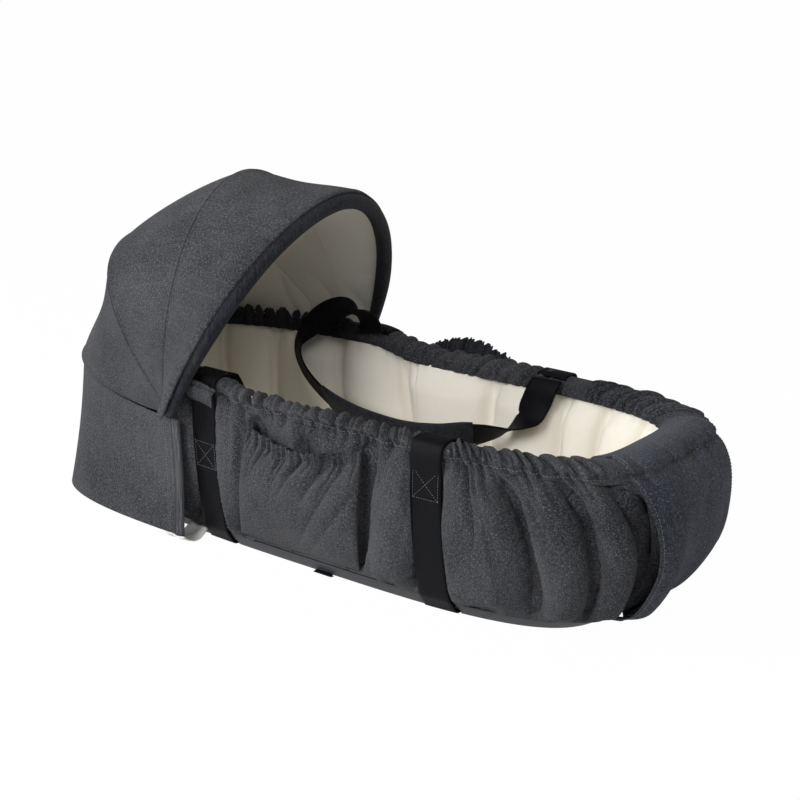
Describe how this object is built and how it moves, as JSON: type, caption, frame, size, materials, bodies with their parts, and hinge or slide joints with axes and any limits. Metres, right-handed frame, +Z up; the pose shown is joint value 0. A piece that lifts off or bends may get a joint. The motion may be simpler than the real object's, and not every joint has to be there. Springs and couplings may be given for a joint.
{
  "type": "baby nest",
  "caption": "Soft padded carry nest for a baby, with a folding hood over the head end, carry straps, side pockets and a foot cover.",
  "frame": {"origin": "middle of the base, on the surface the nest rests on", "axes": "+X from the head end under the hood to the foot end, +Y to the far side, +Z up"},
  "size_m": [0.8704, 0.3622, 0.4151],
  "materials": {
    "denim": "woven melange denim look, dark charcoal blue, matt",
    "denim_dark": "tighter dark charcoal fabric of casings, bindings and base",
    "webbing": "near black woven webbing, slightly satin",
    "cream": "soft cream cotton, quilted",
    "hood_cream": "thin cream cotton hood lining",
    "steel": "sprung steel wire",
    "bracket": "black moulded plastic",
    "board": "thin hardboard",
    "wadding": "white polyester wadding"
  },
  "bodies": {
    "nest": {"base_board": "board", "base_cover": "denim_dark", "far_base_loop": "webbing", "far_hem_tab": "cream", "far_hood_bracket": "bracket", "far_hood_pin": "steel", "far_keeper": "denim", "far_pocket": "denim", "far_pocket_casing": "denim_dark", "far_skirt_binding": "denim_dark", "foot_cap": "denim", "foot_sling": "webbing", "head_sling": "webbing", "hood_skirt": "denim", "mattress": "cream", "near_base_loop": "webbing", "near_hem_tab": "cream", "near_hood_bracket": "bracket", "near_hood_pin": "steel", "near_keeper": "denim", "near_pocket": "denim", "near_pocket_casing": "denim_dark", "near_skirt_binding": "denim_dark", "outer_wall": "denim", "rear_hood_lining": "hood_cream", "rear_hood_panel": "denim", "rim_casing": "denim_dark", "rim_elastic": "cream", "wall_lining": "cream", "wall_wadding": "wadding"},
    "hood_rear": {"rear_wire": "steel", "mid_hood_panel": "denim", "mid_hood_lining": "hood_cream"},
    "hood_mid": {"mid_wire": "steel", "front_hood_panel": "denim", "front_hood_lining": "hood_cream"},
    "hood_front": {"front_wire": "steel", "front_binding": "denim_dark"},
    "near_handle": {"near_handle_webbing": "webbing", "near_handle_grip": "denim"},
    "far_handle": {"far_handle_webbing": "webbing", "far_handle_grip": "denim"}
  },
  "joints": [
    {"name": "hood_fold", "type": "hinge", "parent": "nest", "child": "hood_rear", "pos_m": [-0.1573, 0, 0.1568], "axis": [0, -1, 0], "range_deg": [0, 20.7], "deforming": ["rear_hood_panel", "rear_hood_lining"]},
    {"name": "hood_fold_mid", "type": "hinge", "parent": "hood_rear", "child": "hood_mid", "pos_m": [-0.1573, 0, 0.1568], "axis": [0, -1, 0], "range_deg": [0, 33.8], "deforming": ["mid_hood_panel", "mid_hood_lining"]},
    {"name": "hood_fold_front", "type": "hinge", "parent": "hood_mid", "child": "hood_front", "pos_m": [-0.1573, 0, 0.1568], "axis": [0, -1, 0], "range_deg": [0, 23.3], "deforming": ["front_hood_panel", "front_hood_lining"]},
    {"name": "near_handle_swing", "type": "hinge", "parent": "nest", "child": "near_handle", "pos_m": [0, -0.11646, 0.19333], "axis": [1, 0, 0], "range_deg": [0, 115]},
    {"name": "far_handle_swing", "type": "hinge", "parent": "nest", "child": "far_handle", "pos_m": [0, 0.11646, 0.19333], "axis": [-1, 0, 0], "range_deg": [0, 65]}
  ],
  "couplings": [
    {"joint": "hood_fold_mid", "follows": "hood_fold", "ratio": 1.6327},
    {"joint": "hood_fold_front", "follows": "hood_fold", "ratio": 1.1255}
  ]
}
